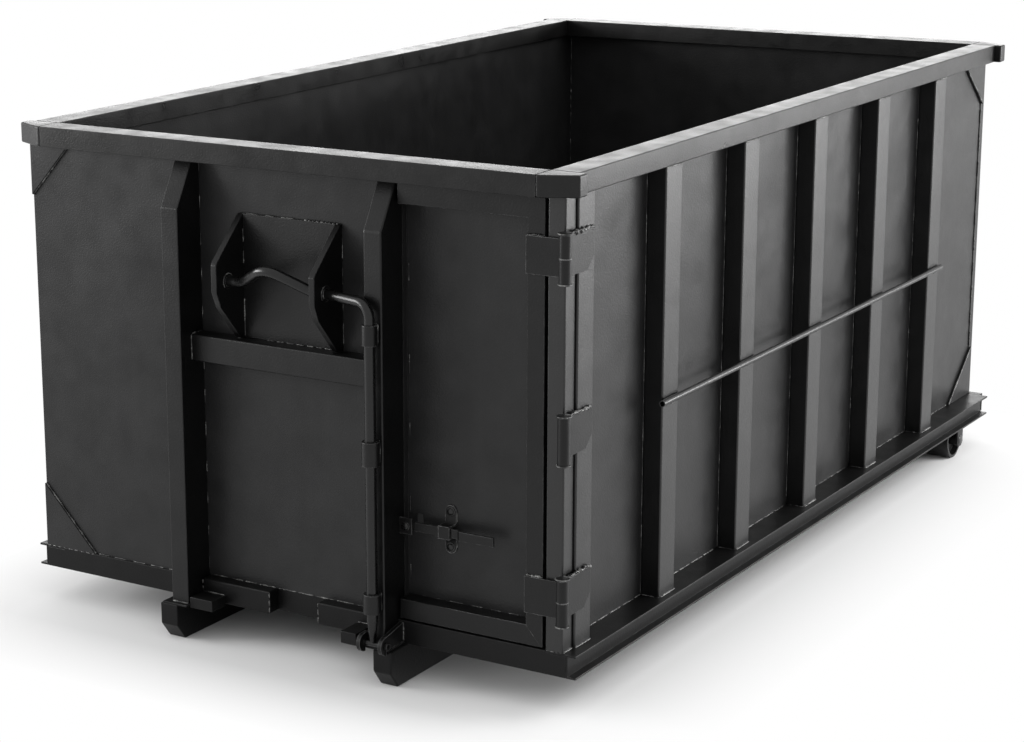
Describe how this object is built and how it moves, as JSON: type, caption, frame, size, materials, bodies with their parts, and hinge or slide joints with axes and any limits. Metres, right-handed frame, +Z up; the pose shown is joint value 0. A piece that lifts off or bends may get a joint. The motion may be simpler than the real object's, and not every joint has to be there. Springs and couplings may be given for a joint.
{
  "type": "roll-off dumpster container",
  "caption": "Hook-lift roll-off dumpster: an open steel box on runners and rear rollers, with a hook frame and a hinged door at the front",
  "frame": {"origin": "the bottom centre of the part's box, on the ground between the two runners", "axes": "+X goes to the side with the door, +Y goes from the hook end to the rear end, +Z goes up"},
  "size_m": [2.5, 4.4499, 1.98],
  "materials": {
    "panel_paint": "satin",
    "rim_paint": "satin",
    "post_paint": "satin",
    "floor_frame_paint": "satin",
    "hook_frame_paint": "satin",
    "bail_paint": "satin",
    "door_frame_paint": "satin",
    "pin_paint": "satin",
    "roller_paint": "satin"
  },
  "bodies": {
    "container": {"base_lug_left": "floor_frame_paint", "base_lug_right": "floor_frame_paint", "clevis_bracket": "hook_frame_paint", "clevis_pin": "pin_paint", "cross_beam": "hook_frame_paint", "ear_collars": "hook_frame_paint", "end_post_left": "post_paint", "end_post_right": "post_paint", "floor_cross_members": "floor_frame_paint", "floor_plate": "panel_paint", "front_cross_member": "floor_frame_paint", "front_panel_centre": "panel_paint", "front_panel_left": "panel_paint", "front_post_left": "hook_frame_paint", "front_post_right": "hook_frame_paint", "gusset_plates": "panel_paint", "hinge_leaves": "door_frame_paint", "hinge_pins": "pin_paint", "hinge_post": "post_paint", "hook_back_plate": "hook_frame_paint", "hook_bail": "bail_paint", "hook_ear_left": "hook_frame_paint", "hook_ear_right": "hook_frame_paint", "latch_catch": "door_frame_paint", "latch_catch_bolt": "pin_paint", "nose_plates": "floor_frame_paint", "rear_cross_member": "floor_frame_paint", "rear_wall": "panel_paint", "rim_cap_front_left": "rim_paint", "rim_cap_front_right": "rim_paint", "rim_cap_rear_left": "rim_paint", "rim_cap_rear_right": "rim_paint", "rim_front": "rim_paint", "rim_rear": "rim_paint", "rim_side_left": "rim_paint", "rim_side_right": "rim_paint", "rod_sleeves": "hook_frame_paint", "roller_axles": "pin_paint", "roller_bracket_left": "floor_frame_paint", "roller_bracket_right": "floor_frame_paint", "runner_left": "floor_frame_paint", "runner_right": "floor_frame_paint", "side_posts_left": "post_paint", "side_posts_right": "post_paint", "side_rail_left": "post_paint", "side_rail_right": "post_paint", "side_wall_left": "panel_paint", "side_wall_right": "panel_paint", "sill_left": "floor_frame_paint", "sill_right": "floor_frame_paint", "stop_bars": "floor_frame_paint"},
    "door": {"door_frame": "door_frame_paint", "door_panel": "panel_paint", "hinge_straps": "door_frame_paint", "latch_guide": "door_frame_paint", "latch_guide_bolts": "pin_paint"},
    "latch_slider": {"latch_bar": "door_frame_paint"},
    "lift_rod": {"lock_rod": "bail_paint"},
    "left_roller": {"roller_left": "roller_paint"},
    "right_roller": {"roller_right": "roller_paint"}
  },
  "joints": [
    {"name": "door_hinge", "type": "hinge", "parent": "container", "child": "door", "pos_m": [1.21, -2.095, 1.07], "axis": [0, 0, 1], "range_deg": [0, 265]},
    {"name": "latch_slide", "type": "slide", "parent": "door", "child": "latch_slider", "axis": [-1, 0, 0], "range_m": [0, 0.028]},
    {"name": "rod_lift", "type": "slide", "parent": "container", "child": "lift_rod", "axis": [0, 0, 1], "range_m": [0, 0.04]},
    {"name": "left_roller_spin", "type": "hinge", "parent": "container", "child": "left_roller", "pos_m": [-1.082, 1.85, 0.0925], "axis": [1, 0, 0], "continuous": true},
    {"name": "right_roller_spin", "type": "hinge", "parent": "container", "child": "right_roller", "pos_m": [1.082, 1.85, 0.0925], "axis": [1, 0, 0], "continuous": true}
  ]
}
